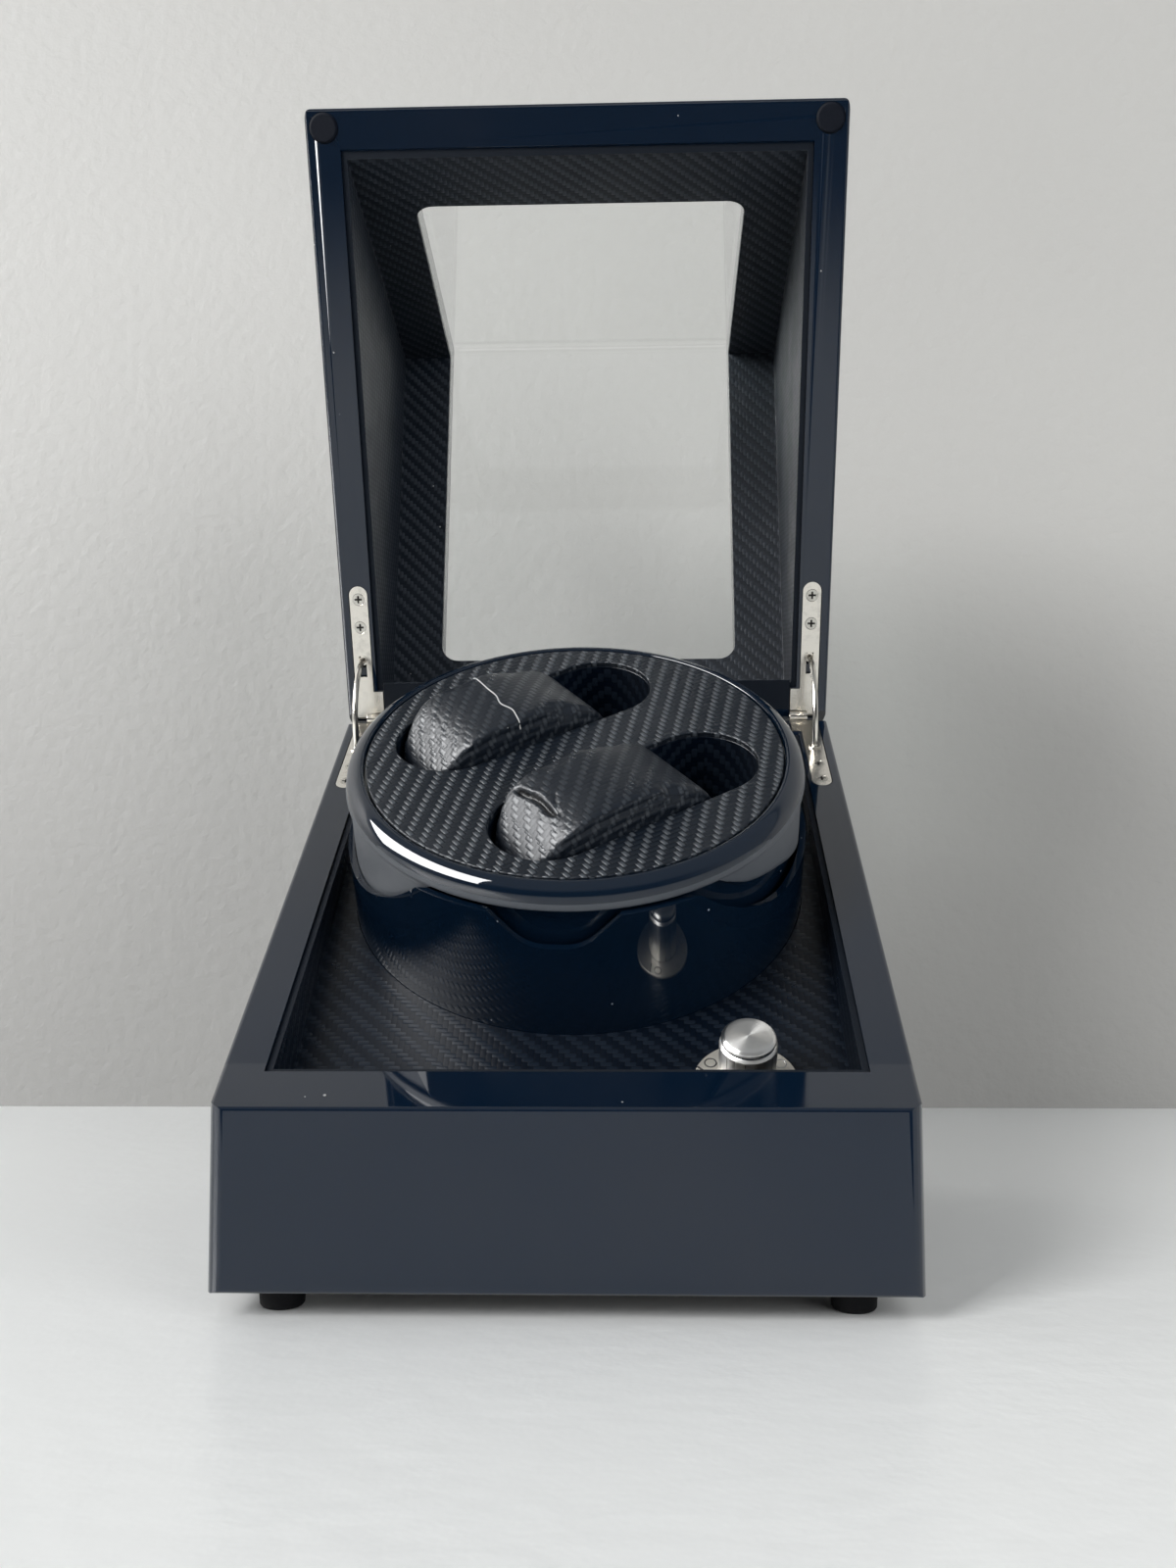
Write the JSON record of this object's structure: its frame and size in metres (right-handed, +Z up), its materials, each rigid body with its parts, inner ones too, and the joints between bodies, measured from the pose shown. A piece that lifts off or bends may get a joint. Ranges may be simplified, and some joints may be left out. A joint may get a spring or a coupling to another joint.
{
  "type": "watch winder box",
  "caption": "Watch winder box with a sloping rim: a motor turns a tilted rotor that holds watches on cushions under a hinged lid with a bent window.",
  "frame": {"origin": "middle of the open box's footprint, on the surface that the feet stand on", "axes": "+Z up, the front faces -Y, +X to the right seen from the front; the lid stands open"},
  "size_m": [0.18, 0.237, 0.3656],
  "materials": {
    "piano_black": "clear-coated gloss black lacquer on wood board",
    "carbon_leather": "carbon-weave embossed leather",
    "cushion_leather": "soft wrinkled carbon-weave leather",
    "gloss_moulding": "polished black moulding",
    "black_plastic": "satin black plastic",
    "white_plastic": "white acetal",
    "bronze": "sintered bronze",
    "steel": "bright zinc-plated steel",
    "nickel": "nickel-plated steel",
    "brushed_aluminium": "spun aluminium",
    "rubber": "matt black rubber",
    "grey_felt": "dark grey soft pad",
    "clear_acrylic": "clear polished acrylic",
    "wood": "bare wood",
    "board_black": "painted fibreboard",
    "green_board": "green circuit board"
  },
  "bodies": {
    "box": {"base_shell": "piano_black", "bottom_panel": "board_black", "panel_screws": "steel", "rubber_feet": "rubber", "base_lining": "carbon_leather", "deck_panel": "carbon_leather", "deck_battens": "wood", "drum": "gloss_moulding", "drum_screws": "steel", "upper_bush": "bronze", "lower_bush": "bronze", "motor_gearbox": "steel", "motor_can": "steel", "motor_bracket": "steel", "bracket_screws": "steel", "circuit_board": "green_board", "rotary_switch": "black_plastic", "switch_nut": "nickel", "dial_plate": "nickel", "power_socket": "black_plastic", "socket_nut": "nickel", "base_leaf_left": "nickel", "base_leaf_right": "nickel", "base_leaf_screws": "nickel", "hinge_pins": "nickel", "stay_left": "nickel", "stay_right": "nickel"},
    "lid": {"lid_shell": "piano_black", "lid_lining": "carbon_leather", "window_pane": "clear_acrylic", "lid_bumpers": "grey_felt", "lid_leaf_left": "nickel", "lid_leaf_right": "nickel", "lid_leaf_screws": "nickel"},
    "rotor": {"rotor_ring": "gloss_moulding", "rotor_plate": "carbon_leather", "rotor_cup": "gloss_moulding", "well_bucket_rear": "gloss_moulding", "well_bucket_front": "gloss_moulding", "well_linings": "carbon_leather", "rotor_spindle": "steel", "spindle_clip": "steel", "drive_gear": "white_plastic"},
    "pinion": {"pinion": "white_plastic"},
    "knob": {"switch_shaft": "steel", "knob": "gloss_moulding", "knob_cap": "brushed_aluminium"},
    "cushion_rear": {"cushion_rear": "cushion_leather"},
    "cushion_front": {"cushion_front": "cushion_leather"}
  },
  "joints": [
    {"name": "lid_hinge", "type": "hinge", "parent": "box", "child": "lid", "pos_m": [0, 0.05745, 0.1722], "axis": [-1, 0, 0], "range_deg": [-100, 0]},
    {"name": "rotor_spin", "type": "hinge", "parent": "box", "child": "rotor", "pos_m": [0, -0.01512, 0.11077], "axis": [0, -0.6157, 0.788], "continuous": true},
    {"name": "pinion_spin", "type": "hinge", "parent": "box", "child": "pinion", "pos_m": [0.0375, -0.01512, 0.11077], "axis": [0, -0.6157, 0.788], "continuous": true},
    {"name": "knob_turn", "type": "hinge", "parent": "box", "child": "knob", "pos_m": [0.0482, -0.08645, 0.05504], "axis": [0, -0.6157, 0.788], "range_deg": [-135, 135]},
    {"name": "cushion_rear_lift", "type": "slide", "parent": "rotor", "child": "cushion_rear", "axis": [0, -0.6157, 0.788], "range_m": [0, 0.06]},
    {"name": "cushion_front_lift", "type": "slide", "parent": "rotor", "child": "cushion_front", "axis": [0, -0.6157, 0.788], "range_m": [0, 0.06]}
  ],
  "couplings": [
    {"joint": "pinion_spin", "follows": "rotor_spin", "ratio": -4}
  ]
}
